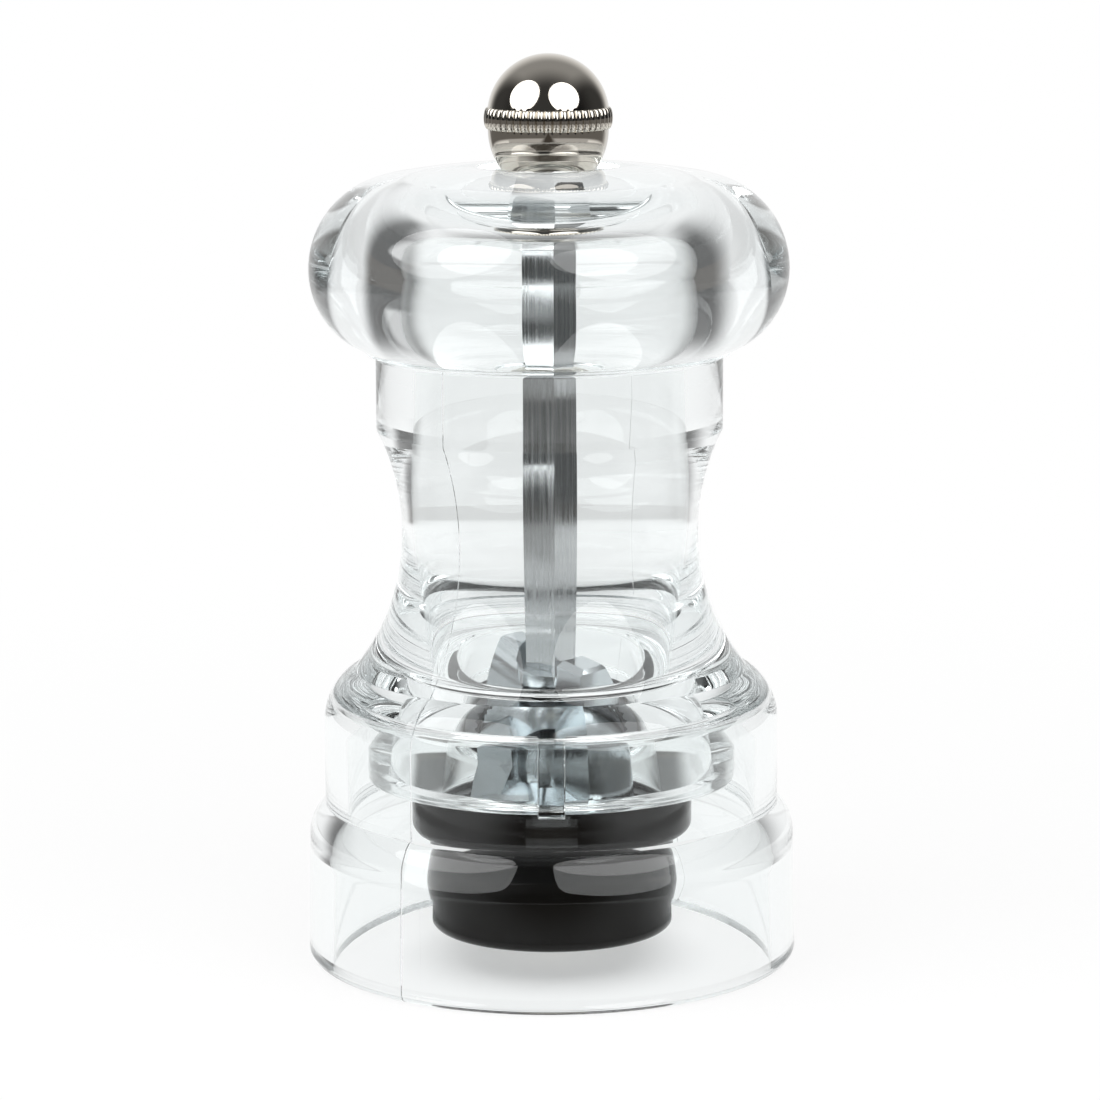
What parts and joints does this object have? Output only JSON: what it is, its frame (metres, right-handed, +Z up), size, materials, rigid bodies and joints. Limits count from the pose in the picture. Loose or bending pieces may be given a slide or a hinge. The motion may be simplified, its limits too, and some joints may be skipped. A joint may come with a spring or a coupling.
{
  "type": "pepper mill",
  "caption": "Clear acrylic pepper mill: hourglass body with a hollow skirt, round head that turns a square shaft, ball knob and a burr grinder in a black housing.",
  "frame": {"origin": "centre of the foot, on the surface the mill stands on", "axes": "+Z up along the shaft, -Y towards the front, where the collar's rib and key tab are"},
  "size_m": [0.0554, 0.0554, 0.102],
  "materials": {
    "plated_knob": "bright nickel and chrome plating",
    "clear_head": "polished clear acrylic",
    "clear_body": "polished clear acrylic",
    "drawn_aluminium": "drawn bar with streaks along its length",
    "black_plastic": "glossy moulded black plastic",
    "dark_burr_metal": "cut and hardened steel",
    "grey_burr_metal": "light grey cut metal",
    "spring_steel": "drawn spring wire",
    "zinc_steel": "zinc-plated steel",
    "nylon": "moulded natural nylon"
  },
  "bodies": {
    "base": {"body": "clear_body", "mechanism_housing": "black_plastic", "outer_burr": "dark_burr_metal", "bridge": "zinc_steel", "bridge_screws": "zinc_steel"},
    "turning_bush": {"shaft_bush": "nylon", "burr_spring": "spring_steel"},
    "drive": {"drive_shaft": "drawn_aluminium", "inner_burr": "grey_burr_metal", "retaining_clip": "spring_steel", "spring_washer": "zinc_steel"},
    "head": {"head": "clear_head"},
    "knob": {"knob": "plated_knob"}
  },
  "joints": [
    {"name": "grind_turn", "type": "hinge", "parent": "base", "child": "turning_bush", "pos_m": [0, 0, 0.006], "axis": [0, 0, 1], "continuous": true},
    {"name": "head_lift", "type": "slide", "parent": "turning_bush", "child": "head", "axis": [0, 0, 1], "range_m": [0, 0.03]},
    {"name": "knob_turn", "type": "hinge", "parent": "head", "child": "knob", "pos_m": [0, 0, 0.0885], "axis": [0, 0, 1], "range_deg": [-180, 360]},
    {"name": "grind_adjust", "type": "slide", "parent": "turning_bush", "child": "drive", "axis": [0, 0, 1], "range_m": [-0.0007, 0.00035], "deforming": ["burr_spring"]}
  ],
  "couplings": [
    {"joint": "knob_turn", "follows": "grind_adjust", "rad_per_m": -8975.9}
  ]
}
